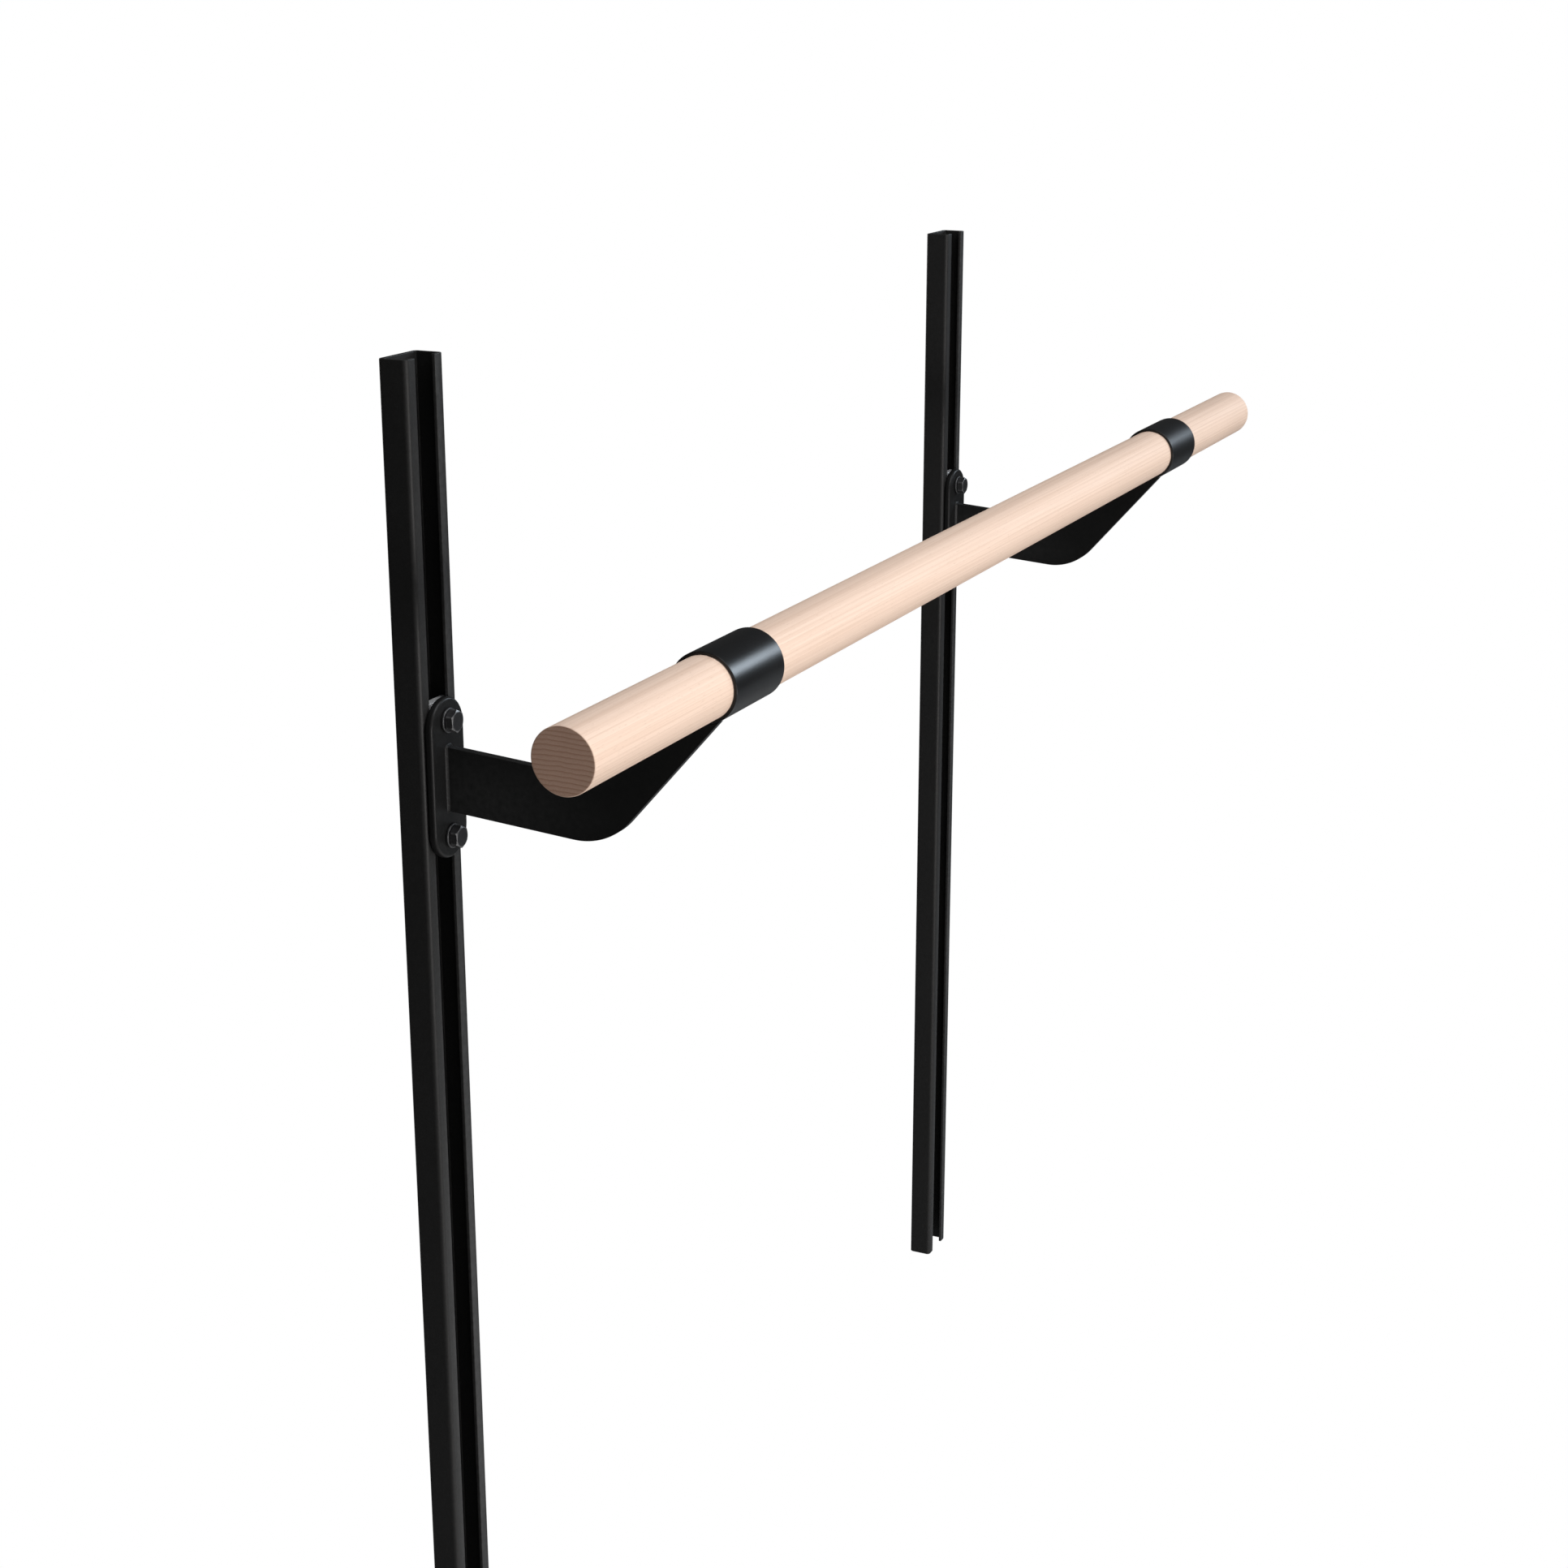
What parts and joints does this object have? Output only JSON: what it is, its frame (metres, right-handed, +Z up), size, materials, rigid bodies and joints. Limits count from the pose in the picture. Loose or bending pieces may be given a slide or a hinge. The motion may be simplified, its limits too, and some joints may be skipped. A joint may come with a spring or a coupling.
{
  "type": "wall-mounted ballet barre",
  "caption": "Wall-mounted ballet barre: a round wooden rail in steel collars on swan-neck brackets, bolted at a chosen height to upright channels.",
  "frame": {"origin": "on the wall plane, midway between the two channels and at half their height", "axes": "+X along the barre to the right as seen from the room, +Y into the wall, +Z up"},
  "size_m": [1.29, 0.2298, 1],
  "materials": {
    "rail_paint": "satin black powder coat",
    "bracket_paint": "satin black powder coat",
    "black_fasteners": "black oxide, slightly oiled",
    "zinc_nuts": "bright zinc plate",
    "barre_wood": "pale hardwood, fine sanded, clear satin lacquer"
  },
  "bodies": {
    "rails": {"left_rail": "rail_paint", "right_rail": "rail_paint"},
    "left_bracket": {"left_base_plate": "bracket_paint", "left_arm": "bracket_paint", "left_collar": "bracket_paint", "left_upper_bolt": "black_fasteners", "left_lower_bolt": "black_fasteners", "left_upper_washer": "black_fasteners", "left_lower_washer": "black_fasteners", "left_upper_channel_nut": "zinc_nuts", "left_lower_channel_nut": "zinc_nuts", "left_barre_lock_screw": "black_fasteners"},
    "right_bracket": {"right_base_plate": "bracket_paint", "right_arm": "bracket_paint", "right_collar": "bracket_paint", "right_upper_bolt": "black_fasteners", "right_lower_bolt": "black_fasteners", "right_upper_washer": "black_fasteners", "right_lower_washer": "black_fasteners", "right_upper_channel_nut": "zinc_nuts", "right_lower_channel_nut": "zinc_nuts", "right_barre_lock_screw": "black_fasteners"},
    "barre": {"barre": "barre_wood"}
  },
  "joints": [
    {"name": "left_height", "type": "slide", "parent": "rails", "child": "left_bracket", "axis": [0, 0, 1], "range_m": [-0.68, 0.21]},
    {"name": "right_height", "type": "slide", "parent": "rails", "child": "right_bracket", "axis": [0, 0, 1], "range_m": [-0.68, 0.21]},
    {"name": "barre_slide", "type": "slide", "parent": "left_bracket", "child": "barre", "axis": [1, 0, 0], "range_m": [-0.15, 0.15]}
  ],
  "couplings": [
    {"joint": "right_height", "follows": "left_height", "ratio": 1}
  ]
}
